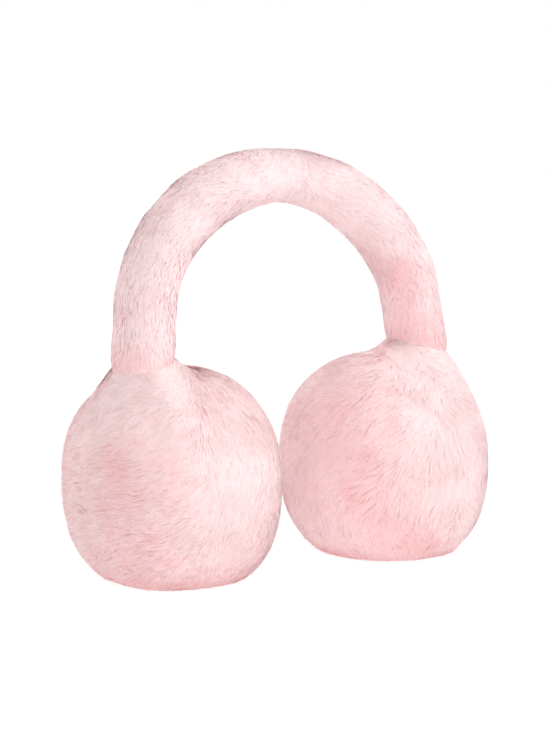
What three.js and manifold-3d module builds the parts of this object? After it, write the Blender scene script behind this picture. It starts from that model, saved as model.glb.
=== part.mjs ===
// Fur earmuffs that stand on the flattened undersides of their two muffs, in millimetres.
// X runs from the left muff to the right one, Y from front to back, and Z up from the floor.
// Each muff is two fur pieces sewn together at a seam in the plane of the band. The band is a
// padded arch covered in fur, and its two ends sit in sockets in the tops of the muffs.

import * as THREE from "three";
import { mergeVertices } from "three/addons/utils/BufferGeometryUtils.js";
import Module from "manifold-3d";

const wasm = await Module();
wasm.setup();

// Muffs, out to the tips of the fur
const MUFF_RADIUS = 61;
const MUFF_OUTWARD_DEPTH = 56;
const MUFF_INWARD_DEPTH = 55;
// Between the ear sides of the two muffs
const EAR_GAP = 33;
// The lower half would reach this far down, but the floor presses it flat
const MUFF_LOWER_REACH = 63.9;
const FLOOR_FLATTENING = 8.2;
// Powers of the rounded form: 2 is an ellipse, more is squarer
const MUFF_DEPTH_POWER = 2.5;
const MUFF_UPPER_POWER = 2;
const MUFF_LOWER_POWER = 2.6;
// From the middle of a muff outwards to the seam, where the band comes in too
const SEAM_OFFSET = 18;

// Band, out to the tips of the fur
const BAND_THICKNESS = 34;
const BAND_WIDTH = 40;
const BAND_SECTION_POWER = 2.2;
// From the middle of the muffs up to where the arch starts to curve, and from there to its top
const LEG_RISE = 87.6;
const ARCH_RISE = 73.5;
const ARCH_POWER = 1.83;
const LEG_SPLAY = 8;
const LEG_DEPTH_IN_MUFF = 36;
// The arch leans back: its feet are in front of the middle of the muffs, its top is behind
const FOOT_FORWARD = 9;
const ARCH_LEAN = 15;

// Clearances between pieces
const SEAM_GAP = 0.3;
const SOCKET_GAP = 0.3;

// Fur locks: rise above the padding, root sunk into it, free tip above it
const LOCK_RISE = 2.8;
const LOCK_SINK = 1.6;
const LOCK_TIP_LIFT = 1;
const MUFF_LOCK_LENGTH = 31;
const MUFF_LOCK_WIDTH = 17;
const MUFF_LOCK_COUNT = 80;
const BAND_LOCK_LENGTH = 25;
const BAND_LOCK_WIDTH = 15;
const BAND_LOCK_PITCH = 21;
const BAND_LOCKS_AROUND = 5;
// How the locks lie on a muff: round its axis, and down
const NAP_SWIRL = 0.8;
const NAP_DROOP = 0.7;
// How far the locks differ: turned by an angle in radians, and longer or shorter by a share
const LOCK_TURN = 0.5;
const LOCK_UNEVENNESS = 0.14;
// The steps that spread the locks' differences over their rows
const UNEVEN_STEP = 2.4;
const UNEVEN_STEP_AROUND = 1.9;
// Shares of a lock's length that are tried where the muff is in its way
const LOCK_FITS = [1, 0.8, 0.6];

// Facets
const MUFF_FACETS_AROUND = 24;
const MUFF_FACETS_DEEP = 14;
const BAND_FACETS_AROUND = 12;
const BAND_FACETS_ALONG = 30;
const ARCH_STEPS = 12;
const LEG_STEPS = 3;
const LOCK_SIDES = 3;
const LOCK_RINGS = 2;
// Steps along a skin that its normal is worked out from, as shares of its size
const NORMAL_STEP = 0.02;
const MERGE_DISTANCE = 1e-5;

// Thickness and width of the band along each half, from the foot of a leg to the top,
// as shares of its named thickness and width
const BAND_SECTIONS = [
  { along: 0.0, thick: 0.86, wide: 0.86 },
  { along: 0.2, thick: 0.99, wide: 0.97 },
  { along: 0.45, thick: 1.0, wide: 1.0 },
  { along: 0.7, thick: 1.07, wide: 1.03 },
  { along: 1.0, thick: 0.97, wide: 1.0 },
];

// A lock from root to tip: its width, and the height of its crest, as shares of the named ones
const LOCK_PROFILE = [
  { along: 0, wide: 0.55, crest: 0.1 },
  { along: 0.4, wide: 1, crest: 1 },
  { along: 0.75, wide: 0.75, crest: 0.9 },
  { along: 1, wide: 0, crest: 0.4 },
];

const FURS = {
  headband: new THREE.MeshStandardMaterial({ color: 0xf3d3d6, roughness: 0.95, metalness: 0 }),
  outer: new THREE.MeshStandardMaterial({ color: 0xf0cdd1, roughness: 0.95, metalness: 0 }),
  inner: new THREE.MeshStandardMaterial({ color: 0xf4d8da, roughness: 0.95, metalness: 0 }),
};

const OUTWARDS = new THREE.Vector3(1, 0, 0);
const BACK = new THREE.Vector3(0, 1, 0);
const UP = new THREE.Vector3(0, 0, 1);
const muffCentre = new THREE.Vector3(
  EAR_GAP / 2 + MUFF_INWARD_DEPTH,
  0,
  MUFF_LOWER_REACH - FLOOR_FLATTENING,
);
const muffTop = muffCentre.z + MUFF_RADIUS;
const seamX = muffCentre.x + SEAM_OFFSET;
const footHeight = muffTop - LEG_DEPTH_IN_MUFF;
const springHeight = muffCentre.z + LEG_RISE;
const archTop = springHeight + ARCH_RISE;

// A number from -1 to 1 that differs from one lock to the next, the same each time
function unevenness(row, around = 0) {
  return Math.sin(row * UNEVEN_STEP + around * UNEVEN_STEP_AROUND);
}

function signedPower(value, power) {
  return Math.sign(value) * Math.abs(value) ** power;
}

// Reads a column of a table of rows sorted by their along value
function readTable(rows, column, along) {
  const next = Math.max(1, rows.findIndex((row) => row.along >= along));
  const [low, high] = [rows[next - 1], rows[next]];
  const share = (along - low.along) / (high.along - low.along);
  return THREE.MathUtils.lerp(low[column], high[column], share);
}

// Moves every vertex of a geometry to the place that a function gives for it
function shaped(geometry, place) {
  const position = geometry.getAttribute("position");
  const vertex = new THREE.Vector3();
  for (let i = 0; i < position.count; i += 1) {
    vertex.fromBufferAttribute(position, i);
    position.setXYZ(i, ...place(vertex).toArray());
  }
  return geometry;
}

function solidOf(geometry) {
  const bare = geometry.clone();
  bare.deleteAttribute("normal");
  bare.deleteAttribute("uv");
  const merged = mergeVertices(bare, MERGE_DISTANCE);
  return new wasm.Manifold(new wasm.Mesh({
    numProp: 3,
    vertProperties: merged.getAttribute("position").array,
    triVerts: new Uint32Array(merged.index.array),
  }));
}

function geometryOf(solid) {
  const mesh = solid.getMesh();
  const geometry = new THREE.BufferGeometry();
  geometry.setAttribute("position", new THREE.BufferAttribute(mesh.vertProperties, 3));
  geometry.setIndex(new THREE.BufferAttribute(mesh.triVerts, 1));
  geometry.computeVertexNormals();
  return geometry;
}

function boxBetween(low, high) {
  const size = high.clone().sub(low);
  const box = new THREE.BoxGeometry(size.x, size.y, size.z);
  box.translate(...low.clone().add(high).multiplyScalar(0.5).toArray());
  return solidOf(box);
}

// The padding of the right muff in a direction from its middle, with outwards along +X.
// The floor presses the fur flat below, so there the padding reaches as far as the fur.
function muffSkin(direction) {
  const deep = THREE.MathUtils.clamp(direction.x, -1, 1);
  const ring = Math.sqrt(Math.max(0, 1 - deep * deep));
  const turn = Math.atan2(direction.z, direction.y);
  const upper = direction.z >= 0;
  const power = 2 / (upper ? MUFF_UPPER_POWER : MUFF_LOWER_POWER);
  const reach = signedPower(ring, 2 / MUFF_DEPTH_POWER);
  const depth = deep >= 0 ? MUFF_OUTWARD_DEPTH : MUFF_INWARD_DEPTH;
  const radius = MUFF_RADIUS - LOCK_RISE;
  return new THREE.Vector3(
    signedPower(deep, 2 / MUFF_DEPTH_POWER) * (depth - LOCK_RISE),
    signedPower(Math.cos(turn), power) * radius * reach,
    signedPower(Math.sin(turn), power) * (upper ? radius : MUFF_LOWER_REACH) * reach,
  ).add(muffCentre);
}

// A point and the outward normal of a skin, from two steps along its surface
function skinFrame(point, alongA, alongB, outward) {
  const normal = alongA.clone().sub(point).cross(alongB.clone().sub(point)).normalize();
  if (normal.dot(outward) < 0) {
    normal.negate();
  }
  return { point, normal };
}

function muffFrame(direction) {
  const reference = Math.abs(direction.z) < 0.9 ? UP : BACK;
  const across = new THREE.Vector3().crossVectors(direction, reference).normalize();
  const along = new THREE.Vector3().crossVectors(across, direction);
  return skinFrame(
    muffSkin(direction),
    muffSkin(direction.clone().addScaledVector(across, NORMAL_STEP).normalize()),
    muffSkin(direction.clone().addScaledVector(along, NORMAL_STEP).normalize()),
    direction,
  );
}

// One lock of fur: a bent cone with a ridge, its base sunk in the skin and its tip free.
// frameAt gives the skin's point and normal for a share of the way from root to tip.
function furLock(frameAt, width) {
  const cone = new THREE.ConeGeometry(1, 1, LOCK_SIDES, LOCK_RINGS);
  return solidOf(shaped(cone, (vertex) => {
    const along = THREE.MathUtils.clamp(vertex.y + 0.5, 0, 1);
    const { point, normal, nap } = frameAt(along);
    const taper = Math.max(1 - along, 1e-6);
    const across = new THREE.Vector3().crossVectors(nap, normal).normalize();
    const ridge = THREE.MathUtils.clamp((vertex.z / taper + 0.5) / 1.5, 0, 1);
    const base = THREE.MathUtils.lerp(-LOCK_SINK, LOCK_TIP_LIFT, along ** 2);
    const crest = Math.max(readTable(LOCK_PROFILE, "crest", along) * LOCK_RISE, base);
    const height = THREE.MathUtils.lerp(base, crest, along < 1 ? ridge : 0);
    const halfWidth = width / 2 * readTable(LOCK_PROFILE, "wide", along);
    return point.clone()
      .addScaledVector(across, vertex.x / taper * halfWidth)
      .addScaledVector(normal, height);
  }));
}

// Which way the hair lies on a muff: it swirls about the muff's axis and droops downwards
function muffNap(direction, turn) {
  const swirl = new THREE.Vector3().crossVectors(OUTWARDS, direction);
  const nap = swirl.multiplyScalar(NAP_SWIRL).addScaledVector(UP, -NAP_DROOP);
  nap.addScaledVector(direction, -nap.dot(direction)).normalize();
  return nap.applyAxisAngle(direction, turn);
}

// How far behind the middle of the muffs the band is at a height
function leanAt(height) {
  return ARCH_LEAN * (height - footHeight) / (archTop - footHeight) - FOOT_FORWARD;
}

function nearLeg(point) {
  const away = Math.hypot(point.x - seamX, point.y - leanAt(point.z));
  return point.z > muffCentre.z && away < BAND_WIDTH / 2 + LOCK_RISE;
}

// Locks rooted on one side of the seam, with none across the leg's socket or under the muff
function muffLocks(outerSide) {
  const goldenAngle = Math.PI * (3 - Math.sqrt(5));
  const locks = [];
  for (let i = 0; i < MUFF_LOCK_COUNT; i += 1) {
    const deep = 1 - 2 * (i + 0.5) / MUFF_LOCK_COUNT;
    const ring = Math.sqrt(1 - deep * deep);
    const turn = i * goldenAngle;
    const root = new THREE.Vector3(deep, ring * Math.cos(turn), ring * Math.sin(turn));
    const nap = muffNap(root, LOCK_TURN * unevenness(i));
    const reach = MUFF_LOCK_LENGTH / MUFF_RADIUS * (1 + LOCK_UNEVENNESS * unevenness(0, i));
    const directionAt = (along) => root.clone().addScaledVector(nap, reach * along).normalize();
    const start = muffSkin(root);
    const onSide = start.x > seamX === outerSide;
    if (onSide && start.z > MUFF_LOCK_WIDTH && !nearLeg(start) && !nearLeg(muffSkin(directionAt(1)))) {
      locks.push(furLock((along) => ({ ...muffFrame(directionAt(along)), nap }), MUFF_LOCK_WIDTH));
    }
  }
  return locks;
}

// Centre line of the band, from the foot of the left leg over the top to the right foot
function archCurve() {
  const half = [];
  for (let i = 0; i < LEG_STEPS; i += 1) {
    const drop = 1 - i / LEG_STEPS;
    half.push([seamX + LEG_SPLAY * drop, THREE.MathUtils.lerp(springHeight, footHeight, drop)]);
  }
  for (let i = 0; i <= ARCH_STEPS; i += 1) {
    const turn = i / ARCH_STEPS * Math.PI / 2;
    const x = seamX * signedPower(Math.cos(turn), 2 / ARCH_POWER);
    half.push([x, springHeight + ARCH_RISE * signedPower(Math.sin(turn), 2 / ARCH_POWER)]);
  }
  const left = half.map(([x, z]) => new THREE.Vector3(-x, leanAt(z), z));
  const right = half.slice(0, -1).map(([x, z]) => new THREE.Vector3(x, leanAt(z), z));
  return new THREE.CatmullRomCurve3([...left, ...right.reverse()], false, "centripetal");
}

const arch = archCurve();

// A point on the band, for a share of its length and an angle round its section,
// with angle 0 on the outside of the arch. grow widens the padding all round.
function bandSkin(at, angle, grow = 0) {
  const share = THREE.MathUtils.clamp(at, 0, 1);
  const tangent = arch.getTangentAt(share);
  const outward = new THREE.Vector3().crossVectors(tangent, BACK).normalize().negate();
  const across = new THREE.Vector3().crossVectors(tangent, outward).normalize();
  const along = 1 - Math.abs(2 * share - 1);
  const thick = BAND_THICKNESS * readTable(BAND_SECTIONS, "thick", along) / 2 - LOCK_RISE + grow;
  const wide = BAND_WIDTH * readTable(BAND_SECTIONS, "wide", along) / 2 - LOCK_RISE + grow;
  return arch.getPointAt(share)
    .addScaledVector(outward, thick * signedPower(Math.cos(angle), 2 / BAND_SECTION_POWER))
    .addScaledVector(across, wide * signedPower(Math.sin(angle), 2 / BAND_SECTION_POWER));
}

function bandPadding(grow = 0) {
  const tube = new THREE.CylinderGeometry(1, 1, 1, BAND_FACETS_AROUND, BAND_FACETS_ALONG);
  return solidOf(shaped(tube, (vertex) => {
    const share = THREE.MathUtils.clamp(vertex.y + 0.5, 0, 1);
    const onAxis = Math.hypot(vertex.x, vertex.z) < 0.5;
    return onAxis ? arch.getPointAt(share) : bandSkin(share, Math.atan2(vertex.x, vertex.z), grow);
  }));
}

// How much of a lock's length fits above the muff: all that is asked, a shorter share, or none
function lockFit(start, side, angle, asked) {
  const lowest = muffTop + SOCKET_GAP;
  const shares = LOCK_FITS.map((share) => share * asked);
  const reach = side * BAND_LOCK_LENGTH / arch.getLength();
  const endHeight = (share) => bandSkin(start + reach * share, angle).z;
  return shares.find((share) => endHeight(share) > lowest) ?? 0;
}

// The way along the band of one lock, which turns a little round the band on its way
function bandLockPath(start, reach, angle, turn) {
  return (along) => {
    const share = THREE.MathUtils.clamp(start + reach * along, 0, 1);
    const turned = angle + turn * along;
    const point = bandSkin(share, turned);
    const outward = point.clone().sub(arch.getPointAt(share));
    const nap = arch.getTangentAt(share).multiplyScalar(Math.sign(reach));
    const further = bandSkin(share + NORMAL_STEP, turned);
    return { ...skinFrame(point, further, bandSkin(share, turned + NORMAL_STEP), outward), nap };
  };
}

// Locks lie along the band in staggered rows, from the top down each leg to just above the muffs
function bandLocks() {
  const length = arch.getLength();
  const rows = Math.floor(length / 2 / BAND_LOCK_PITCH);
  const locks = [];
  for (const side of [-1, 1]) {
    for (let row = 0; row < rows; row += 1) {
      for (let i = 0; i < BAND_LOCKS_AROUND; i += 1) {
        const uneven = unevenness(row, i);
        const angle = (i + row % 2 / 2) / BAND_LOCKS_AROUND * 2 * Math.PI;
        const start = 0.5 + side * row * BAND_LOCK_PITCH / length;
        const fit = lockFit(start, side, angle, 1 + LOCK_UNEVENNESS * uneven);
        if (fit > 0) {
          const reach = side * fit * BAND_LOCK_LENGTH / length;
          locks.push(furLock(bandLockPath(start, reach, angle, LOCK_TURN * uneven), BAND_LOCK_WIDTH));
        }
      }
    }
  }
  return locks;
}

// The right muff's outer cover or its ear side: cut at the seam, open for the leg of the band
// and flat on the floor
function muffHalf(outerSide) {
  const ball = new THREE.SphereGeometry(1, MUFF_FACETS_AROUND, MUFF_FACETS_DEEP);
  ball.rotateZ(-Math.PI / 2);
  const padding = solidOf(shaped(ball, (vertex) => muffSkin(vertex.normalize())));
  const [fromX, toX] = outerSide
    ? [seamX + SEAM_GAP / 2, seamX + 2 * MUFF_OUTWARD_DEPTH]
    : [0, seamX - SEAM_GAP / 2];
  const ownSide = boxBetween(
    new THREE.Vector3(fromX, -2 * MUFF_RADIUS, 0),
    new THREE.Vector3(toX, 2 * MUFF_RADIUS, 2 * muffTop),
  );
  return geometryOf(wasm.Manifold.union([padding, ...muffLocks(outerSide)])
    .intersect(ownSide)
    .subtract(bandPadding(SOCKET_GAP)));
}

// The same geometry on the left side, with its faces turned to point outwards again
function mirrored(geometry) {
  const other = geometry.clone().scale(-1, 1, 1);
  const index = other.index.array;
  for (let i = 0; i < index.length; i += 3) {
    [index[i + 1], index[i + 2]] = [index[i + 2], index[i + 1]];
  }
  other.computeVertexNormals();
  return other;
}

function named(name, geometry, material) {
  const mesh = new THREE.Mesh(geometry, material.clone());
  mesh.name = name;
  return mesh;
}

const earmuffs = new THREE.Group();
const furredBand = wasm.Manifold.union([bandPadding(), ...bandLocks()]);
earmuffs.add(named("headband", geometryOf(furredBand), FURS.headband));
for (const piece of ["outer", "inner"]) {
  const geometry = muffHalf(piece === "outer");
  earmuffs.add(named(`muff_right_${piece}`, geometry, FURS[piece]));
  earmuffs.add(named(`muff_left_${piece}`, mirrored(geometry), FURS[piece]));
}

// The origin is on the floor under the middle of the outer box
const middle = new THREE.Box3().setFromObject(earmuffs).getCenter(new THREE.Vector3());
earmuffs.position.set(-middle.x, -middle.y, 0);

export default earmuffs;
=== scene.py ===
import math

import bpy
import numpy as np
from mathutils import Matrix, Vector, kdtree


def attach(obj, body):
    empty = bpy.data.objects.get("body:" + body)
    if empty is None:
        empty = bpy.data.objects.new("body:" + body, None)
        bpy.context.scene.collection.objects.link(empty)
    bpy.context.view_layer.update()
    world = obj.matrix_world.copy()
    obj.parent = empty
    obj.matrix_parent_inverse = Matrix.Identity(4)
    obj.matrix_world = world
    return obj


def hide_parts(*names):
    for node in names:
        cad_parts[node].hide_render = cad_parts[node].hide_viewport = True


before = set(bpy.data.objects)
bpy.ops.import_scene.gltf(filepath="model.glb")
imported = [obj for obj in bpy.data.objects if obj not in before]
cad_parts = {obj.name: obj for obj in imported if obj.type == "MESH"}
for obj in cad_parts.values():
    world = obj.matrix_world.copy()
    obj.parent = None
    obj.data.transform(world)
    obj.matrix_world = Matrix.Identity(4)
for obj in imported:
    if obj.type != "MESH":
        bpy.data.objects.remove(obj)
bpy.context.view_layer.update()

MM = 0.001
SEED = 7

# Form of the muffs, in mm, out to the tips of the fur
MUFF_RADIUS = 60.5
MUFF_OUTWARD_DEPTH = 55.5
MUFF_INWARD_DEPTH = 54.5
MUFF_CENTRE = (71.5, -0.6, 55.7)
MUFF_LOWER_REACH = 63.9
MUFF_DEPTH_POWER = 2.5
MUFF_UPPER_POWER = 2.0
MUFF_LOWER_POWER = 2.6
SEAM_OFFSET = 18.0
SEAM_CLEARANCE = 0.1
SEAM_X = MUFF_CENTRE[0] + SEAM_OFFSET

# Form of the band, in mm
BAND_THICKNESS = 33.0
BAND_WIDTH = 39.0
BAND_SECTION_POWER = 2.2
SPRING_HEIGHT = 143.3
ARCH_RISE = 73.0
ARCH_POWER = 1.83
LEG_SPLAY = 8.0
FOOT_HEIGHT = 81.3
FOOT_FORWARD = 9.6
ARCH_LEAN = 15.0
# Thickness and width along each half, from the foot of a leg to the top of the arch
BAND_SECTIONS = (
    {"along": 0.0, "thick": 0.86, "wide": 0.86},
    {"along": 0.2, "thick": 0.99, "wide": 0.97},
    {"along": 0.45, "thick": 1.0, "wide": 1.0},
    {"along": 0.7, "thick": 1.07, "wide": 1.03},
    {"along": 1.0, "thick": 0.97, "wide": 1.0},
)

# How far the fur stands above its skin, in mm
MUFF_PILE = 1.8
BAND_PILE = 1.6
FLOOR_CLEARANCE = 0.25
# Where a leg goes into a muff, the fur rises round it
FILLET_RISE = 7.0
FILLET_REACH = 16.0
FILLET_POWER = 2.0
# Inside a leg's outline near_leg goes on to this
FILLET_LIMIT = 1.3

# Points of the centre line of the band: on a leg, on half the arch and evenly spaced in all
LEG_STEPS = 40
TURN_STEPS = 160
ARCH_STEPS = 400
ARCH_SMOOTHINGS = 6

# Grids of the skins. A muff's rows are closer together near its seam, and its columns at the top,
# where the leg goes in.
MUFF_GRID = {"rows": 36, "columns": 112, "to_seam": 1.3, "to_top": 0.55}
BAND_GRID = {"rows": 140, "columns": 32}
POLE_GAP = 0.02
# How far the skins swell or sink, as stuffed fur does, over bumps of each size, in mm
SKIN_SWELLS = ({"size": 26, "amount": 0.7, "seed": 11}, {"size": 13, "amount": 0.5, "seed": 12})

# The photograph's viewing angle and framing, with the aim in metres
CAMERA_AZIMUTH = -35.0
CAMERA_ELEVATION = 6.0
CAMERA_DISTANCE = 1.3
CAMERA_AIM = (-0.0038, -0.0006, 0.1103)
CAMERA_LENS = 115.2
SENSOR = 36.0

# The background is pure white in the picture, and lights the fur less strongly than that
WORLD_LIGHT = 0.68
# Places and aims in metres, powers in watts. size is metres for an area light, degrees for a spot.
LIGHTS = (
    {"name": "key_light", "kind": "AREA", "place": (1.2, -0.9, 1.6), "aim": (0, 0, 0.1),
     "size": 1.2, "power": 24},
    {"name": "gap_light", "kind": "SPOT", "place": (-0.7, -1.0, 0.25), "aim": (0.012, -0.02, 0.055),
     "size": 7.5, "power": 32},
    {"name": "fill_light", "kind": "AREA", "place": (-0.8, -1.2, 0.5), "aim": (0, 0, 0.1),
     "size": 1.2, "power": 5},
    {"name": "back_light", "kind": "AREA", "place": (-0.3, 1.7, 1.0), "aim": (0, 0, 0.1),
     "size": 2.0, "power": 20},
)
SPOT_SOFTNESS = 0.1
FLOOR_HALF_SIZE = 6.0
FLOOR_GREY = 0.35
FLOOR_GLOW = 0.78

# Colours of the fur: at the roots, part of the way along and at the tips of the palest strands
# The deeper colour towards the roots is painted shade down in the pile
FUR_COLOURS = {
    "band_fur": {"deep": (0.90, 0.58, 0.59), "middle": (0.91, 0.665, 0.675), "pale": (0.92, 0.76, 0.77)},
    "muff_fur": {"deep": (0.84, 0.50, 0.505), "middle": (0.85, 0.56, 0.565), "pale": (0.87, 0.69, 0.695)},
    "ear_fur": {"deep": (0.86, 0.515, 0.52), "middle": (0.87, 0.58, 0.585), "pale": (0.885, 0.705, 0.71)},
}
MIDDLE_AT = 0.3
PALE_AT = 0.75
# How far a strand's tone shifts its colour along the ramp
TONE_SHIFT = 0.8
# Place of a skin's colour on the ramp and its tone
# The skin's deeper colour, showing between the strands, is painted shade under the fur
SKIN_ALONG = 0.3
SKIN_TONE = 0.4
MAP_MARGIN = 0.02

UP = np.array([0.0, 0.0, 1.0])
BACK = np.array([0.0, 1.0, 0.0])
RIGHTWARDS = np.array([math.cos(math.radians(CAMERA_AZIMUTH)), math.sin(math.radians(CAMERA_AZIMUTH)), 0])
CAMERAWARDS = np.cross(RIGHTWARDS, UP)

# Which way the hair of each muff is combed: a place, as seen from the front, right and up of the
# muff's middle in shares of its radius, the heading there in degrees, 0 to the right and 90 up, and
# how much paler the fur is painted there, below 0 deeper. This paleness is painted light and shade:
# paler on the right-hand parts and tops that the light falls on and on the right muff's side that
# faces the left one, deeper on the middles and lower parts.
LEFT_COMB = (
    {"right": -0.40, "up": 0.72, "heading": 238, "pale": 0.1},
    {"right": -0.15, "up": 0.60, "heading": 262, "pale": 0.0},
    {"right": 0.20, "up": 0.60, "heading": 278, "pale": 0.15},
    {"right": 0.35, "up": 0.30, "heading": 275, "pale": 0.3},
    {"right": -0.70, "up": 0.20, "heading": 200, "pale": -0.05},
    {"right": -0.35, "up": 0.25, "heading": 190, "pale": -0.35},
    {"right": 0.00, "up": 0.20, "heading": 205, "pale": -0.35},
    {"right": -0.35, "up": -0.10, "heading": 180, "pale": -0.35},
    {"right": 0.05, "up": -0.15, "heading": 195, "pale": -0.25},
    {"right": 0.40, "up": -0.15, "heading": 262, "pale": 0.3},
    {"right": -0.60, "up": -0.45, "heading": 190, "pale": 0.0},
    {"right": -0.20, "up": -0.45, "heading": 200, "pale": -0.25},
    {"right": 0.35, "up": -0.50, "heading": 240, "pale": 0.2},
    {"right": -0.30, "up": -0.75, "heading": 215, "pale": -0.4},
    {"right": 0.20, "up": -0.80, "heading": 245, "pale": -0.3},
)
RIGHT_COMB = (
    {"right": -0.57, "up": 0.70, "heading": 215, "pale": 0.15},
    {"right": -0.25, "up": 0.60, "heading": 205, "pale": -0.35},
    {"right": 0.05, "up": 0.70, "heading": 235, "pale": 0.3},
    {"right": -0.35, "up": 0.35, "heading": 218, "pale": -0.3},
    {"right": 0.00, "up": 0.40, "heading": 200, "pale": -0.25},
    {"right": 0.30, "up": 0.40, "heading": 228, "pale": 0.35},
    {"right": -0.60, "up": 0.10, "heading": 240, "pale": 0.35},
    {"right": -0.20, "up": -0.05, "heading": 202, "pale": -0.4},
    {"right": 0.28, "up": 0.00, "heading": 240, "pale": 0.0},
    {"right": -0.50, "up": -0.45, "heading": 262, "pale": 0.1},
    {"right": 0.00, "up": -0.35, "heading": 245, "pale": -0.35},
    {"right": 0.15, "up": -0.80, "heading": 266, "pale": -0.45},
    {"right": 0.62, "up": 0.10, "heading": 268, "pale": 0.35},
    {"right": 0.75, "up": 0.47, "heading": 285, "pale": 0.35},
    {"right": 0.75, "up": -0.35, "heading": 262, "pale": 0.25},
)
COMB_REACH = 0.2
# How much the hair strays from the way it is combed, over bumps of each size in mm
MUFF_STRAYS = ({"size": 20, "amount": 0.45}, {"size": 7, "amount": 0.4})
BAND_STRAYS = ({"size": 18, "amount": 0.4}, {"size": 6, "amount": 0.35})
MUFF_STRAY_SEED = 30
BAND_STRAY_SEED = 60
# How strongly a muff's hair turns up towards the leg, and outwards over the seam within a reach in mm
LEG_TURN_OUTSIDE = 1.4
LEG_TURN_EAR_SIDE = 0.6
SEAM_TURN = 0.9
SEAM_TURN_REACH = 12
# The hair on top of the band lies forwards and backwards from a parting, behind the middle on its
# outer face, in mm, and elsewhere along the band
BAND_TOP_REACH = 40
PARTING_BACK = 8
PARTING_BLEND = 6
INWARD_TURN = 0.45
# How much longer and higher the fur is at the leg of a muff and at the foot of the band
COLLAR_GROWTH = {"longer": 0.25, "higher": -0.35}
FOOT_GROWTH = {"longer": -0.4, "higher": -0.6}
FOOT_GROWTH_REACH = 8

# Painted light and shade: painted light on the collars round the legs and on the top of the arch,
# painted shade under the muffs near the floor and at the feet of the band, which is also a little
# deeper all over. Heights are above the floor and over the fur of the muffs in mm.
COLLAR_PAINTED_LIGHT = 0.35
UNDERSIDE_PAINTED_SHADE = 1.2
UNDERSIDE_FROM = 1
UNDERSIDE_TO = 10
BAND_DEEP = 0.05
BAND_TOP_PAINTED_LIGHT = 0.3
BAND_TOP_FROM = 150
BAND_TOP_TO = 195
FOOT_DEEP = 0.25
FOOT_DEEP_FROM = 2
FOOT_DEEP_TO = 16

# Where strands are rooted, in mm
BAND_ROOT_DEPTH = 0.5
LEG_ROOT_DEPTH = 1.5
SEAM_ROOT_GAP = 0.15
LOWEST_ROOT = 1.2

# Shape of a strand from root to tip: how its steps lengthen, how early it rises and how it tapers
STEP_POWER = 1.3
RISE_POWER = 1.8
TAPER_POWER = 1.5
TAPER = 0.75
WIDTH_UNEVEN = 0.25
# A clump draws its strands in by a random share of its pull, from this to all of it
LEAST_PULL = 0.6
# The paler the fur is, the smoother it lies
ROUGHNESS = {"for_paleness": 1.6, "least": 0.4, "most": 1.3}
# Patches of longer, higher and paler fur
LENGTH_PATCHES = {"size": 13, "amount": 0.15, "seed": 8}
RISE_PATCHES = {"size": 10, "amount": 0.15, "seed": 9}
TONE_PATCHES = ({"size": 12, "amount": 1, "seed": 8}, {"size": 5, "amount": 0.6, "seed": 10})
TUFT_TONE = 0.06
STRAND_TONE = 0.03
MUFF_MOTTLE = 0.14
BAND_MOTTLE = 0.25

# Partings, where the fur is shorter and its deeper colour shows: place and reach in mm.
# The two at the floor are painted shade under the muffs, and the one at the foot of the right leg is
# painted shade in its crease.
PARTINGS_AND_SHADE = (
    {"x": 73, "y": -14, "z": 162, "reach": 10, "depth": 0.7},
    {"x": 74, "y": -18, "z": 147, "reach": 10, "depth": 0.4},
    {"x": 78, "y": -22, "z": 127, "reach": 14, "depth": 0.6},
    {"x": -107, "y": -18, "z": 124, "reach": 8, "depth": 0.6},
    {"x": -122, "y": -30, "z": 69, "reach": 9, "depth": 0.35},
    {"x": 44, "y": -42, "z": 67, "reach": 9, "depth": 0.4},
    {"x": -70, "y": -26, "z": 0, "reach": 22, "depth": 0.6},
    {"x": 66, "y": -26, "z": 0, "reach": 22, "depth": 0.6},
)


def lattice_value(cell, seed):
    """A fixed random number from -1 to 1 for each whole-number cell."""
    mixed = np.sin(cell @ np.array([127.1, 311.7, 74.7]) + seed * 17.17) * 43758.5453
    return 2 * (mixed - np.floor(mixed)) - 1


def noise(points, scale, seed):
    """Smooth noise from about -1 to 1 over points in mm, with bumps of that scale in mm."""
    place = points / scale
    cell = np.floor(place)
    part = place - cell
    ease = part * part * (3 - 2 * part)
    total = np.zeros(len(points))
    for corner in np.ndindex(2, 2, 2):
        corner = np.array(corner)
        weight = np.where(corner == 1, ease, 1 - ease).prod(axis=1)
        total += weight * lattice_value(cell + corner, seed)
    return total


def vector_noise(points, scale, seed):
    return np.stack([noise(points, scale, seed + axis / 3) for axis in range(3)], axis=1)


def patches(points, row):
    """Noise by a row of a table."""
    return row["amount"] * noise(points, row["size"], row["seed"])


def unit(vectors):
    return vectors / np.maximum(np.linalg.norm(vectors, axis=-1, keepdims=True), 1e-9)


def signed_power(value, power):
    return np.sign(value) * np.abs(value) ** power


def read_table(rows, column, along):
    return np.interp(along, [row["along"] for row in rows], [row[column] for row in rows])


def smooth_step(low, high, value):
    part = np.clip((value - low) / (high - low), 0, 1)
    return part * part * (3 - 2 * part)


def on_surface(vectors, normals):
    """Vectors turned to lie along the surface with those normals."""
    return unit(vectors - normals * (vectors * normals).sum(axis=1, keepdims=True))


def lean_at(height):
    share = (height - FOOT_HEIGHT) / (SPRING_HEIGHT + ARCH_RISE - FOOT_HEIGHT)
    return ARCH_LEAN * share - FOOT_FORWARD


def leg_offset(points, side):
    """How far points are from the middle of the leg on that side, outwards and back, in mm."""
    drop = np.clip((SPRING_HEIGHT - points[:, 2]) / (SPRING_HEIGHT - FOOT_HEIGHT), 0, 1)
    return side * points[:, 0] - SEAM_X - LEG_SPLAY * drop, points[:, 1] - lean_at(points[:, 2])


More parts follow.
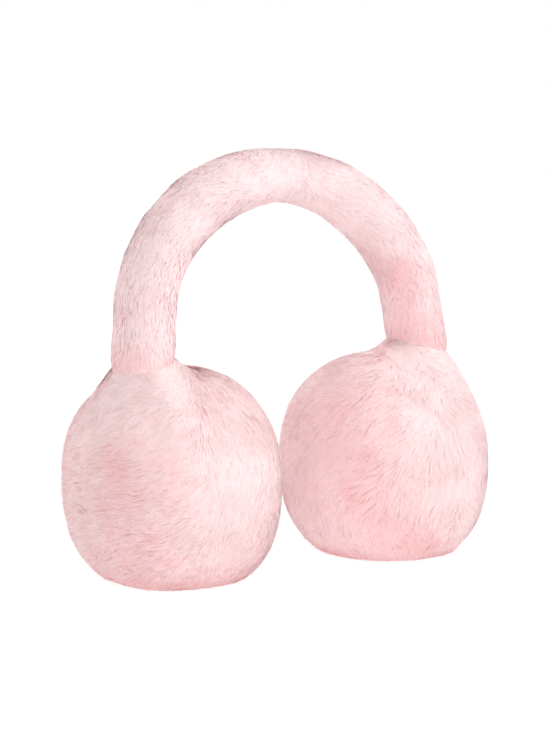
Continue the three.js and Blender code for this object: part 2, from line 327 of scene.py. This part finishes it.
def leg_distance(points, side):
    """How far points are outside the leg on that side, in mm, less than 0 inside."""
    outwards, back = leg_offset(points, side)
    return (np.hypot(outwards / BAND_THICKNESS, back / BAND_WIDTH) - 0.5) * BAND_THICKNESS


def near_leg(points, side):
    """From 0 away from where a leg goes into a muff to 1 at the leg, and a little more inside it."""
    above = smooth_step(MUFF_CENTRE[2], MUFF_CENTRE[2] + MUFF_RADIUS / 2, points[:, 2])
    return np.clip(1 - leg_distance(points, side) / FILLET_REACH, 0, FILLET_LIMIT) * above


def fillet_rise(points, side):
    """How much higher than its round form a muff is, in mm, which is steeper nearer to the leg."""
    return FILLET_RISE * near_leg(points, side) ** FILLET_POWER


def muff_surface(direction, side, pile):
    """The muff's skin that far under the tips of its fur, in unit directions from its middle."""
    deep = np.clip(direction[:, 0] * side, -1, 1)
    ring = np.sqrt(1 - deep ** 2)
    turn = np.arctan2(direction[:, 2], direction[:, 1])
    upper = direction[:, 2] >= 0
    power = 2 / np.where(upper, MUFF_UPPER_POWER, MUFF_LOWER_POWER)
    reach = ring ** (2 / MUFF_DEPTH_POWER)
    depth = np.where(deep >= 0, MUFF_OUTWARD_DEPTH, MUFF_INWARD_DEPTH) - pile
    radius = MUFF_RADIUS - pile
    tall = np.where(upper, radius, MUFF_LOWER_REACH)
    x = side * (MUFF_CENTRE[0] + signed_power(deep, 2 / MUFF_DEPTH_POWER) * depth)
    y = MUFF_CENTRE[1] + signed_power(np.cos(turn), power) * radius * reach
    z = MUFF_CENTRE[2] + signed_power(np.sin(turn), power) * tall * reach
    return np.stack([x, y, z], axis=1)


def above_muff(points, side):
    """About how far points are outside a muff's fur, in mm, less than 0 inside."""
    deep = side * points[:, 0] - MUFF_CENTRE[0]
    height = points[:, 2] - MUFF_CENTRE[2]
    depth = np.where(deep >= 0, MUFF_OUTWARD_DEPTH, MUFF_INWARD_DEPTH)
    power = np.where(height >= 0, MUFF_UPPER_POWER, MUFF_LOWER_POWER)
    tall = np.where(height >= 0, MUFF_RADIUS, MUFF_LOWER_REACH)
    across = np.abs(points[:, 1] - MUFF_CENTRE[1]) / MUFF_RADIUS
    face = (across ** power + (np.abs(height) / tall) ** power) ** (MUFF_DEPTH_POWER / power)
    share = ((np.abs(deep) / depth) ** MUFF_DEPTH_POWER + face) ** (1 / MUFF_DEPTH_POWER)
    return (share - 1) * MUFF_RADIUS


def above_muffs(points):
    """About how far points are outside the fur of both muffs, with its rise round the legs."""
    return np.minimum(*(above_muff(points, side) - fillet_rise(points, side) for side in (-1, 1)))


def arch_line():
    """The band's centre line from the left foot to the right one, evenly spaced, in mm."""
    drop = np.linspace(1, 0, LEG_STEPS, endpoint=False)
    leg = np.stack([SEAM_X + LEG_SPLAY * drop, SPRING_HEIGHT + (FOOT_HEIGHT - SPRING_HEIGHT) * drop], 1)
    turn = np.linspace(0, math.pi / 2, TURN_STEPS)
    x = SEAM_X * np.cos(turn).clip(0) ** (2 / ARCH_POWER)
    z = SPRING_HEIGHT + ARCH_RISE * np.sin(turn) ** (2 / ARCH_POWER)
    half = np.vstack([leg, np.stack([x, z], 1)])
    whole = np.vstack([half * (-1, 1), half[-2::-1]])
    line = np.stack([whole[:, 0], lean_at(whole[:, 1]), whole[:, 1]], 1)
    gone = np.concatenate([[0], np.cumsum(np.linalg.norm(np.diff(line, axis=0), axis=1))])
    even = np.linspace(0, gone[-1], ARCH_STEPS)
    line = np.stack([np.interp(even, gone, line[:, k]) for k in range(3)], 1)
    for _ in range(ARCH_SMOOTHINGS):
        line[1:-1] = (line[:-2] + 2 * line[1:-1] + line[2:]) / 4
    return line


ARCH = arch_line()
ARCH_TANGENT = unit(np.gradient(ARCH, axis=0))
ARCH_TREE = kdtree.KDTree(len(ARCH))
for step, place in enumerate(ARCH):
    ARCH_TREE.insert(place, step)
ARCH_TREE.balance()


def band_surface(share, angle, pile):
    """The band's skin at shares of its length and angles round it, 0 on the arch's outside."""
    at = share * (len(ARCH) - 1)
    steps = np.arange(len(ARCH))
    centre = np.stack([np.interp(at, steps, ARCH[:, k]) for k in range(3)], 1)
    tangent = unit(np.stack([np.interp(at, steps, ARCH_TANGENT[:, k]) for k in range(3)], 1))
    outward = unit(np.cross(tangent, BACK))
    across = unit(np.cross(tangent, outward))
    along = 1 - np.abs(2 * share - 1)
    thick = BAND_THICKNESS * read_table(BAND_SECTIONS, "thick", along) / 2 - pile
    wide = BAND_WIDTH * read_table(BAND_SECTIONS, "wide", along) / 2 - pile
    out = signed_power(np.cos(angle), 2 / BAND_SECTION_POWER) * thick
    sideways = signed_power(np.sin(angle), 2 / BAND_SECTION_POWER) * wide
    return centre + outward * out[:, None] + across * sideways[:, None]


def band_height(points):
    """About how far points are outside the band's fur, in mm, less than 0 inside."""
    step = [ARCH_TREE.find(point)[1] for point in points]
    outward = unit(np.cross(ARCH_TANGENT[step], BACK))
    across = unit(np.cross(ARCH_TANGENT[step], outward))
    offset = points - ARCH[step]
    along = 1 - np.abs(2 * np.array(step) / (len(ARCH) - 1) - 1)
    thick = BAND_THICKNESS * read_table(BAND_SECTIONS, "thick", along) / 2
    wide = BAND_WIDTH * read_table(BAND_SECTIONS, "wide", along) / 2
    out = np.abs((offset * outward).sum(axis=1)) / thick
    sideways = np.abs((offset * across).sum(axis=1)) / wide
    share = (out ** BAND_SECTION_POWER + sideways ** BAND_SECTION_POWER) ** (1 / BAND_SECTION_POWER)
    return (share - 1) * (thick + wide) / 2


def grid_faces(rows, columns):
    """Two triangles for each cell of a grid that closes round its columns."""
    row, column = np.meshgrid(np.arange(rows - 1), np.arange(columns), indexing="ij")
    row, column = row.ravel(), column.ravel()
    after = (column + 1) % columns
    a, b = row * columns + column, row * columns + after
    c, d = (row + 1) * columns + after, (row + 1) * columns + column
    return np.vstack([np.stack([a, b, c], 1), np.stack([a, c, d], 1)])


def capped(points, faces, columns):
    """Closes both open ends of a grid with a fan to the middle of each end's ring."""
    count = len(points)
    first, last = points[:columns].mean(axis=0), points[-columns:].mean(axis=0)
    ring = np.arange(columns)
    after = (ring + 1) % columns
    start = np.stack([np.full(columns, count), after, ring], 1)
    end = np.stack([np.full(columns, count + 1), count - columns + ring, count - columns + after], 1)
    return np.vstack([points, first, last]), np.vstack([faces, start, end])


def outward_faces(points, faces):
    """The faces turned so that the closed mesh they make has its outside out."""
    a, b, c = (points[faces[:, k]] for k in range(3))
    volume = (a * np.cross(b, c)).sum()
    return faces if volume > 0 else faces[:, ::-1]


def vertex_normals(points, faces):
    a, b, c = (points[faces[:, k]] for k in range(3))
    face = np.cross(b - a, c - a)
    total = np.zeros_like(points)
    for k in range(3):
        np.add.at(total, faces[:, k], face)
    return unit(total)


def uneven_skin(points):
    """How far a skin swells or sinks at its points, in mm."""
    return sum(patches(points, row) for row in SKIN_SWELLS)


def muff_skin(side, outer):
    """One half of a muff's skin, closed at the seam: points, faces and how many are its sides."""
    rows, columns = MUFF_GRID["rows"], MUFF_GRID["columns"]
    seam = math.asin((SEAM_OFFSET / (MUFF_OUTWARD_DEPTH - MUFF_PILE)) ** (MUFF_DEPTH_POWER / 2))
    pole = math.pi / 2 - POLE_GAP
    end = pole if outer else -pole
    tilt = seam + (end - seam) * np.linspace(0, 1, rows) ** MUFF_GRID["to_seam"]
    turn = (np.arange(columns) / columns * 2 - 1) * math.pi
    turn = math.pi / 2 + turn - MUFF_GRID["to_top"] * np.sin(turn)
    tilt, turn = (grid.ravel() for grid in np.meshgrid(tilt, turn, indexing="ij"))
    ring = np.cos(tilt)
    direction = np.stack([side * np.sin(tilt), ring * np.cos(turn), ring * np.sin(turn)], 1)
    points = muff_surface(direction, side, MUFF_PILE)
    points[:, 1:] += direction[:, 1:] * uneven_skin(points)[:, None]
    points[:, 2] += fillet_rise(points, side)
    points[:, 0] -= side * SEAM_CLEARANCE * (-1 if outer else 1)
    points[:, 2] = np.maximum(points[:, 2], FLOOR_CLEARANCE * 2)
    points, faces = capped(points, grid_faces(rows, columns), columns)
    return points, outward_faces(points, faces), 2 * (rows - 1) * columns


def band_skin():
    """The band's skin, closed at both ends: points, faces and how many are its sides."""
    rows, columns = BAND_GRID["rows"], BAND_GRID["columns"]
    share = np.linspace(0, 1, rows)
    angle = np.arange(columns) / columns * 2 * math.pi
    share, angle = (grid.ravel() for grid in np.meshgrid(share, angle, indexing="ij"))
    points = band_surface(share, angle, BAND_PILE)
    points, faces = capped(points, grid_faces(rows, columns), columns)
    faces = outward_faces(points, faces)
    points += vertex_normals(points, faces) * uneven_skin(points)[:, None]
    return points, faces, 2 * (rows - 1) * columns


def scatter(points, faces, normals, count, keep, rng):
    """Random places all over the kept part of a mesh, with the normal at each."""
    a, b, c = (points[faces[:, k]] for k in range(3))
    area = np.linalg.norm(np.cross(b - a, c - a), axis=1)
    tries = 2 * count
    pick = rng.choice(len(faces), tries, p=area / area.sum())
    u, v = rng.random(tries), rng.random(tries)
    over = u + v > 1
    u[over], v[over] = 1 - u[over], 1 - v[over]
    weights = np.stack([1 - u - v, u, v], 1)[:, :, None]
    place = (points[faces[pick]] * weights).sum(axis=1)
    normal = unit((normals[faces[pick]] * weights).sum(axis=1))
    kept = np.flatnonzero(keep(place))[:count]
    return place[kept], normal[kept]


def leaders(points, count, rng):
    """For each point, the number of the nearest of a random few, which it gathers round."""
    chosen = rng.choice(len(points), count, replace=False)
    tree = kdtree.KDTree(count)
    for k, index in enumerate(chosen):
        tree.insert(points[index], k)
    tree.balance()
    return chosen[[tree.find(point)[1] for point in points]]


def comb_shares(direction, side):
    """Each row of a muff's comb table, with how much it counts in unit directions from the middle
    of the muff. A row counts at its place in front and at the same one behind."""
    for row in LEFT_COMB if side < 0 else RIGHT_COMB:
        flat = RIGHTWARDS * row["right"] + UP * row["up"]
        towards = CAMERAWARDS * math.sqrt(1 - row["right"] ** 2 - row["up"] ** 2)
        apart = [((direction - place) ** 2).sum(axis=1) for place in (flat + towards, flat - towards)]
        yield row, np.exp(-np.array(apart) / (2 * COMB_REACH ** 2)).sum(axis=0)


def combed(points, normals, side):
    """The way the hair is combed on a muff, blended from the rows of its table."""
    direction = unit(points - np.array(MUFF_CENTRE) * (side, 1, 1))
    rightwards = unit(np.cross(UP, direction))
    upwards = np.cross(direction, rightwards)
    total = np.zeros(points.shape)
    for row, share in comb_shares(direction, side):
        heading = math.radians(row["heading"])
        total += (rightwards * math.cos(heading) + upwards * math.sin(heading)) * share[:, None]
    return on_surface(total, normals)


def muff_paleness(points, side):
    """How much paler than usual a muff's fur is painted at points, blended from the rows of its table:
    painted light and shade, with painted light on the collar round the leg and painted shade near the
    floor.
    """
    direction = unit(points - np.array(MUFF_CENTRE) * (side, 1, 1))
    pale, total = np.zeros(len(points)), np.full(len(points), 1e-6)
    for row, share in comb_shares(direction, side):
        pale += row["pale"] * share
        total += share
    # Painted shade under the muff near the floor, and painted light on the collar round the leg
    low = smooth_step(UNDERSIDE_TO, UNDERSIDE_FROM, points[:, 2])
    return pale / total + COLLAR_PAINTED_LIGHT * near_leg(points, side) - UNDERSIDE_PAINTED_SHADE * low


def band_paleness(points):
    """How much paler than usual the band's fur is at points: painted light at the top of the arch, and
    painted shade at its feet, where they go into the fur of the muffs."""
    high = smooth_step(BAND_TOP_FROM, BAND_TOP_TO, points[:, 2])
    low = smooth_step(FOOT_DEEP_TO, FOOT_DEEP_FROM, above_muffs(points))
    return BAND_TOP_PAINTED_LIGHT * high - BAND_DEEP - FOOT_DEEP * low


def strayed(way, points, strays, seed):
    """Directions that stray from the given ones over bumps of each size."""
    for stray in strays:
        way = way + stray["amount"] * vector_noise(points, stray["size"], seed + stray["size"])
    return way


def muff_nap(points, normals, side, outer):
    """The way the hair lies on a muff: as it is combed, but up towards the leg of the band near
    to it, more so on the outside, and outwards over the seam."""
    way = strayed(combed(points, normals, side), points, MUFF_STRAYS, MUFF_STRAY_SEED)
    outwards, back = leg_offset(points, side)
    to_leg = -unit(np.stack([side * outwards, back, 0 * back], 1))
    turned = near_leg(points, side) * (LEG_TURN_OUTSIDE if outer else LEG_TURN_EAR_SIDE)
    off_seam = np.abs(side * points[:, 0] - SEAM_X)
    across_seam = SEAM_TURN * smooth_step(SEAM_TURN_REACH, 0, off_seam)
    way = way + to_leg * turned[:, None] + np.array([side, 0, 0]) * across_seam[:, None]
    return on_surface(way, normals)


def band_nap(points, normals):
    """The way the hair lies on the band: along it, down from its top. On the top itself it lies
    forwards and backwards from a parting, and to the inside of the arch."""
    step = [ARCH_TREE.find(point)[1] for point in points]
    outward = unit(np.cross(ARCH_TANGENT[step], BACK))
    away = np.clip(points[:, 0:1] / BAND_TOP_REACH, -1, 1)
    back = points[:, 1] - ARCH[step, 1]
    outer_face = (normals * outward).sum(axis=1) > 0
    from_parting = np.tanh((back - PARTING_BACK) / PARTING_BLEND)
    backwards = np.where(outer_face, from_parting, -np.tanh(back / PARTING_BLEND))
    across = BACK * backwards[:, None] - outward * INWARD_TURN
    way = ARCH_TANGENT[step] * away + across * (1 - np.abs(away))
    return on_surface(strayed(way, points, BAND_STRAYS, BAND_STRAY_SEED), normals)


def parting_and_shade(points):
    """How much shorter the fur is at points, from 0 to less than 1. The same share deepens the colour,
    as painted shade at the floor and at the foot of the right leg.
    """
    share = np.zeros(len(points))
    for row in PARTINGS_AND_SHADE:
        apart = ((points - (row["x"], row["y"], row["z"])) ** 2).sum(axis=1)
        share += row["depth"] * np.exp(-apart / row["reach"] ** 2)
    return share.clip(0, 0.8)


def muff_growth(points, side):
    """How much longer a muff's fur is at points, and how much higher it stands: it is longer and
    lies flatter where it comes up round a leg."""
    collar = near_leg(points, side)
    return 1 + COLLAR_GROWTH["longer"] * collar, 1 + COLLAR_GROWTH["higher"] * collar


def band_growth(points):
    """How much longer the band's fur is at points, and how much higher it stands: it gets shorter
    and lies flatter where the fur of a muff comes over it."""
    low = smooth_step(FOOT_GROWTH_REACH, 0, above_muffs(points))
    return 1 + FOOT_GROWTH["longer"] * low, 1 + FOOT_GROWTH["higher"] * low


def settled(points, normals, level, height):
    """Points moved along their normals to that height over the form."""
    here = height(points)
    rate = (height(points + normals) - here).clip(0.5, 2)
    return points + normals * ((level - here) / rate)[:, None]


def strand_paths(roots, normals, fur, layer, rng):
    """The strands' paths from root to tip, and a number for the tuft of each."""
    count, segments = len(roots), layer["segments"]
    longer, higher = fur["growth"](roots)
    full = (1 + layer["uneven"] * rng.standard_normal(count).clip(-2, 2)) * (1 - parting_and_shade(roots))
    length = layer["length"] * longer * full * (1 + patches(roots, LENGTH_PATCHES))
    rough = 1 - ROUGHNESS["for_paleness"] * fur["paleness"](roots)
    rough = rough.clip(ROUGHNESS["least"], ROUGHNESS["most"])
    rise = layer["rise"] * higher * full * (0.5 + 0.5 * rough) * (1 + patches(roots, RISE_PATCHES))
    reach = np.sqrt(np.maximum(length ** 2 - rise ** 2, 1))
    stray = layer["stray"] * rng.standard_normal((count, 1))
    share = np.linspace(0, 1, segments + 1)
    level = fur["height"](roots)
    place = roots
    path = [roots]
    for before, after in zip(share[:-1], share[1:]):
        nap = fur["nap"](place, normals)
        nap = unit(nap + np.cross(nap, normals) * stray)
        place = place + nap * (reach * (after ** STEP_POWER - before ** STEP_POWER))[:, None]
        place = settled(place, normals, level, fur["height"])
        path.append(place + normals * (rise * (1 - (1 - after) ** RISE_POWER))[:, None])
    path = np.stack(path, axis=1)
    for clump in layer["clumps"]:
        lead = leaders(roots, max(2, count // clump["strands"]), rng)
        drawn = LEAST_PULL + (1 - LEAST_PULL) * rng.random((count, 1))
        pull = clump["pull"] * rough[:, None] * share ** STEP_POWER * drawn
        path += (path[lead] - path) * pull[:, :, None]
    return path, lead


def ribbons(path, normals, layer, rng):
    """Tapered ribbons on paths: points, triangles and share along."""
    count, segments = len(path), path.shape[1] - 1
    share = np.linspace(0, 1, segments + 1)
    heading = unit(np.gradient(path, axis=1))
    flat = unit(np.cross(heading, normals[:, None]))
    twist = rng.uniform(-layer["twist"], layer["twist"], (count, 1, 1))
    blade = flat * np.cos(twist) + np.cross(flat, heading) * np.sin(twist)
    width = layer["width"] * (1 + WIDTH_UNEVEN * rng.standard_normal(count).clip(-2, 2))
    half = blade * (width[:, None] * (1 - TAPER * share ** TAPER_POWER) / 2)[:, :, None]
    sides = np.stack([path - half, path + half], axis=2)[:, :-1].reshape(count, -1, 3)
    points = np.concatenate([sides, path[:, -1:]], axis=1)
    faces = []
    for k in range(0, 2 * (segments - 1), 2):
        faces += [[k, k + 1, k + 3], [k, k + 3, k + 2]]
    faces.append([2 * segments - 2, 2 * segments - 1, 2 * segments])
    faces = np.array(faces) + (np.arange(count) * (2 * segments + 1))[:, None, None]
    points, faces = points.reshape(-1, 3), faces.reshape(-1, 3)
    points[:, 2] = np.maximum(points[:, 2], FLOOR_CLEARANCE)
    along = np.tile(np.append(np.repeat(share[:-1], 2), 1), count)
    return points, faces, along


def strand_tones(roots, lead, fur, rng):
    """How pale each strand is, from 0 to 1: by patches, by tufts and one by one, with the piece's
    painted light and shade and deeper in the partings and painted shade spots.
    """
    patch = fur["mottle"] * sum(patches(roots, row) for row in TONE_PATCHES)
    tuft = TUFT_TONE * rng.standard_normal(len(roots))[lead]
    own = STRAND_TONE * rng.standard_normal(len(roots))
    return np.clip(0.5 + patch + tuft + own + fur["paleness"](roots) - parting_and_shade(roots), 0, 1)


# Strands of each layer of fur, with sizes in mm. A clump draws that many strands together.
UNDERCOAT = {
    "segments": 2, "uneven": 0.15, "twist": 0.1, "clumps": ({"strands": 12, "pull": 0.15},),
}
MUFF_COAT = {
    "length": 10.5, "rise": 1.2, "width": 0.54, "uneven": 0.14, "twist": 0.15, "stray": 0.14,
    "clumps": ({"strands": 60, "pull": 0.2}, {"strands": 8, "pull": 0.3}),
}
BAND_COAT = {
    "length": 8.0, "rise": 0.9, "width": 0.56, "uneven": 0.14, "twist": 0.15, "stray": 0.25,
    "clumps": ({"strands": 30, "pull": 0.12}, {"strands": 8, "pull": 0.2}),
}
FLYAWAYS = {
    "segments": 2, "width": 0.25, "uneven": 0.25, "twist": 0.3, "stray": 0.5,
    "clumps": ({"strands": 3, "pull": 0.15},),
}
OUTER_LAYERS = (
    {**UNDERCOAT, "count": 10000, "length": 6.5, "rise": 1.0, "width": 0.5, "stray": 0.25},
    {**MUFF_COAT, "count": 27000, "segments": 3},
    {**FLYAWAYS, "count": 3000, "length": 6.0, "rise": 2.2},
)
INNER_LAYERS = (
    {**UNDERCOAT, "count": 13000, "length": 6.5, "rise": 1.0, "width": 0.6, "stray": 0.25},
    {**MUFF_COAT, "count": 45000, "segments": 2},
    {**FLYAWAYS, "count": 4000, "length": 6.0, "rise": 2.2},
)
BAND_LAYERS = (
    {**UNDERCOAT, "count": 10000, "length": 8.0, "rise": 0.8, "width": 0.8, "stray": 0.3},
    {**BAND_COAT, "count": 47000, "segments": 2},
    {**FLYAWAYS, "count": 3500, "length": 5.0, "rise": 1.3},
)


def furred(node, skin, layers, fur, rng):
    """A piece made of a skin and its fur, in place of a CAD node. skin is its points, its faces and
    how many of them are its sides, which carry the fur. fur holds how the strands grow."""
    points, faces, sides = skin
    normals = vertex_normals(points, faces[:sides])
    parts = [(points, faces, np.full(len(points), SKIN_ALONG), np.full(len(points), SKIN_TONE))]
    for layer in layers:
        roots, root_normals = scatter(points, faces[:sides], normals, layer["count"], fur["keep"], rng)
        path, lead = strand_paths(roots, root_normals, fur, layer, rng)
        tone = strand_tones(roots, lead, fur, rng)
        parts.append((*ribbons(path, root_normals, layer, rng), np.repeat(tone, 2 * layer["segments"] + 1)))
    piece = mesh_piece(f"{node}_fur", parts)
    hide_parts(node)
    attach(piece, "root")
    return piece


def mesh_piece(name, parts):
    """One mesh out of parts, each with points, triangles, share along and tone."""
    starts = np.cumsum([0] + [len(part[0]) for part in parts[:-1]])
    points = np.vstack([part[0] for part in parts]) * MM
    faces = np.vstack([part[1] + start for part, start in zip(parts, starts)])
    along = np.concatenate([part[2] for part in parts])
    tone = np.concatenate([part[3] for part in parts])
    mesh = bpy.data.meshes.new(name)
    mesh.vertices.add(len(points))
    mesh.vertices.foreach_set("co", points.ravel())
    mesh.loops.add(faces.size)
    mesh.loops.foreach_set("vertex_index", faces.ravel())
    mesh.polygons.add(len(faces))
    mesh.polygons.foreach_set("loop_start", np.arange(0, faces.size, 3))
    mesh.update(calc_edges=True)
    mesh.polygons.foreach_set("use_smooth", np.arange(len(faces)) < len(parts[0][1]))
    for attribute, values in (("along", along), ("tone", tone)):
        mesh.attributes.new(attribute, "FLOAT", "POINT").data.foreach_set("value", values)
    # The two attributes that the colour comes from are also laid out as a UV map
    layer = mesh.uv_layers.new(name="OFBake")
    uv = MAP_MARGIN + (1 - 2 * MAP_MARGIN) * np.stack([tone, along], 1)[faces.ravel()]
    layer.uv.foreach_set("vector", uv.astype(np.float32).ravel())
    piece = bpy.data.objects.new(name, mesh)
    bpy.context.collection.objects.link(piece)
    return piece


def fur_material(name, deep, middle, pale):
    """Fur that is deep in colour at the roots, as painted shade down in the pile, and pale at the tips,
    more so on paler strands.
    """
    material = bpy.data.materials.new(name)
    material.use_nodes = True
    nodes, links = material.node_tree.nodes, material.node_tree.links
    shader = nodes["Principled BSDF"]
    shader.inputs["Roughness"].default_value = 0.8
    shader.inputs["Specular IOR Level"].default_value = 0.1
    shader.inputs["Sheen Weight"].default_value = 0.05
    shader.inputs["Sheen Roughness"].default_value = 0.5
    shader.inputs["Sheen Tint"].default_value = (1.0, 0.9, 0.9, 1.0)
    along = nodes.new("ShaderNodeAttribute")
    along.attribute_name = "along"
    tone = nodes.new("ShaderNodeAttribute")
    tone.attribute_name = "tone"
    shift = nodes.new("ShaderNodeMath")
    shift.operation = "MULTIPLY_ADD"
    shift.inputs[1].default_value = TONE_SHIFT
    shift.inputs[2].default_value = -TONE_SHIFT / 2
    links.new(tone.outputs["Fac"], shift.inputs[0])
    total = nodes.new("ShaderNodeMath")
    total.operation = "ADD"
    links.new(along.outputs["Fac"], total.inputs[0])
    links.new(shift.outputs[0], total.inputs[1])
    ramp = nodes.new("ShaderNodeValToRGB").color_ramp
    ramp.elements[0].color = (*deep, 1)
    ramp.elements[1].position = PALE_AT
    ramp.elements[1].color = (*pale, 1)
    ramp.elements.new(MIDDLE_AT).color = (*middle, 1)
    ramp_node = nodes["Color Ramp"]
    links.new(total.outputs[0], ramp_node.inputs["Fac"])
    links.new(ramp_node.outputs["Color"], shader.inputs["Base Color"])
    return material


def band_fur():
    """How the band's strands grow. keep says where they are rooted, and height is over its fur."""
    def keep(points):
        return above_muffs(points) > -BAND_ROOT_DEPTH

    return {
        "keep": keep, "height": band_height, "nap": band_nap, "growth": band_growth,
        "paleness": band_paleness, "mottle": BAND_MOTTLE,
    }


def muff_fur(side, outer):
    """How the strands of half a muff grow, as band_fur says."""
    def keep(points):
        beyond = side * points[:, 0] - SEAM_X
        off_seam = (beyond if outer else -beyond) > SEAM_ROOT_GAP
        off_leg = (points[:, 2] < MUFF_CENTRE[2]) | (leg_distance(points, side) > -LEG_ROOT_DEPTH)
        return off_seam & off_leg & (points[:, 2] > LOWEST_ROOT)

    def nap(points, normals):
        return muff_nap(points, normals, side, outer)

    def growth(points):
        return muff_growth(points, side)

    def paleness(points):
        return muff_paleness(points, side)

    def height(points):
        return above_muff(points, side) - fillet_rise(points, side)

    return {
        "keep": keep, "height": height, "nap": nap, "growth": growth,
        "paleness": paleness, "mottle": MUFF_MOTTLE,
    }


def make_pieces():
    materials = {slot: fur_material(slot, **colours) for slot, colours in FUR_COLOURS.items()}
    rng = np.random.default_rng(SEED)
    band = furred("headband", band_skin(), BAND_LAYERS, band_fur(), rng)
    band.data.materials.append(materials["band_fur"])
    for side, word in ((-1, "left"), (1, "right")):
        for outer, half, slot, layers in (
            (True, "outer", "muff_fur", OUTER_LAYERS), (False, "inner", "ear_fur", INNER_LAYERS),
        ):
            skin, fur = muff_skin(side, outer), muff_fur(side, outer)
            piece = furred(f"muff_{word}_{half}", skin, layers, fur, rng)
            piece.data.materials.append(materials[slot])


def make_stage():
    size = FLOOR_HALF_SIZE
    mesh = bpy.data.meshes.new("floor")
    corners = [(-size, -size, 0), (size, -size, 0), (size, size, 0), (-size, size, 0)]
    mesh.from_pydata(corners, [], [(0, 1, 2, 3)])
    floor = bpy.data.objects.new("floor", mesh)
    bpy.context.collection.objects.link(floor)
    material = bpy.data.materials.new("white_floor")
    material.use_nodes = True
    shader = material.node_tree.nodes["Principled BSDF"]
    shader.inputs["Base Color"].default_value = (FLOOR_GREY, FLOOR_GREY, FLOOR_GREY, 1)
    shader.inputs["Roughness"].default_value = 0.9
    shader.inputs["Specular IOR Level"].default_value = 0.1
    shader.inputs["Emission Color"].default_value = (1, 1, 1, 1)
    shader.inputs["Emission Strength"].default_value = FLOOR_GLOW
    mesh.materials.append(material)


def make_light(row):
    light = bpy.data.lights.new(row["name"], row["kind"])
    light.energy = row["power"]
    if row["kind"] == "AREA":
        light.size = row["size"]
    else:
        light.spot_size = math.radians(row["size"])
        light.spot_blend = 1.0
        light.shadow_soft_size = SPOT_SOFTNESS
    lamp = bpy.data.objects.new(row["name"], light)
    lamp.location = row["place"]
    lamp.rotation_euler = (Vector(row["aim"]) - Vector(row["place"])).to_track_quat("-Z", "Y").to_euler()
    bpy.context.collection.objects.link(lamp)


def make_lights():
    world = bpy.data.worlds.new("studio")
    bpy.context.scene.world = world
    world.use_nodes = True
    background = world.node_tree.nodes["Background"]
    background.inputs["Color"].default_value = (1, 1, 1, 1)
    rays = world.node_tree.nodes.new("ShaderNodeLightPath")
    strength = world.node_tree.nodes.new("ShaderNodeMath")
    strength.operation = "MULTIPLY_ADD"
    strength.inputs[1].default_value = 1 - WORLD_LIGHT
    strength.inputs[2].default_value = WORLD_LIGHT
    world.node_tree.links.new(rays.outputs["Is Camera Ray"], strength.inputs[0])
    world.node_tree.links.new(strength.outputs[0], background.inputs["Strength"])
    for row in LIGHTS:
        make_light(row)
    bpy.context.scene.view_settings.view_transform = "Standard"
    # Pale fur passes light on from strand to strand many times
    bpy.context.scene.cycles.diffuse_bounces = 12


def make_camera():
    azimuth, elevation = math.radians(CAMERA_AZIMUTH), math.radians(CAMERA_ELEVATION)
    away = Vector((
        math.sin(azimuth) * math.cos(elevation),
        -math.cos(azimuth) * math.cos(elevation),
        math.sin(elevation),
    ))
    data = bpy.data.cameras.new("camera")
    data.sensor_width = SENSOR
    data.lens = CAMERA_LENS
    camera = bpy.data.objects.new("camera", data)
    camera.location = Vector(CAMERA_AIM) + away * CAMERA_DISTANCE
    camera.rotation_euler = (-away).to_track_quat("-Z", "Y").to_euler()
    bpy.context.collection.objects.link(camera)
    bpy.context.scene.camera = camera


make_camera()
make_stage()
make_lights()
make_pieces()
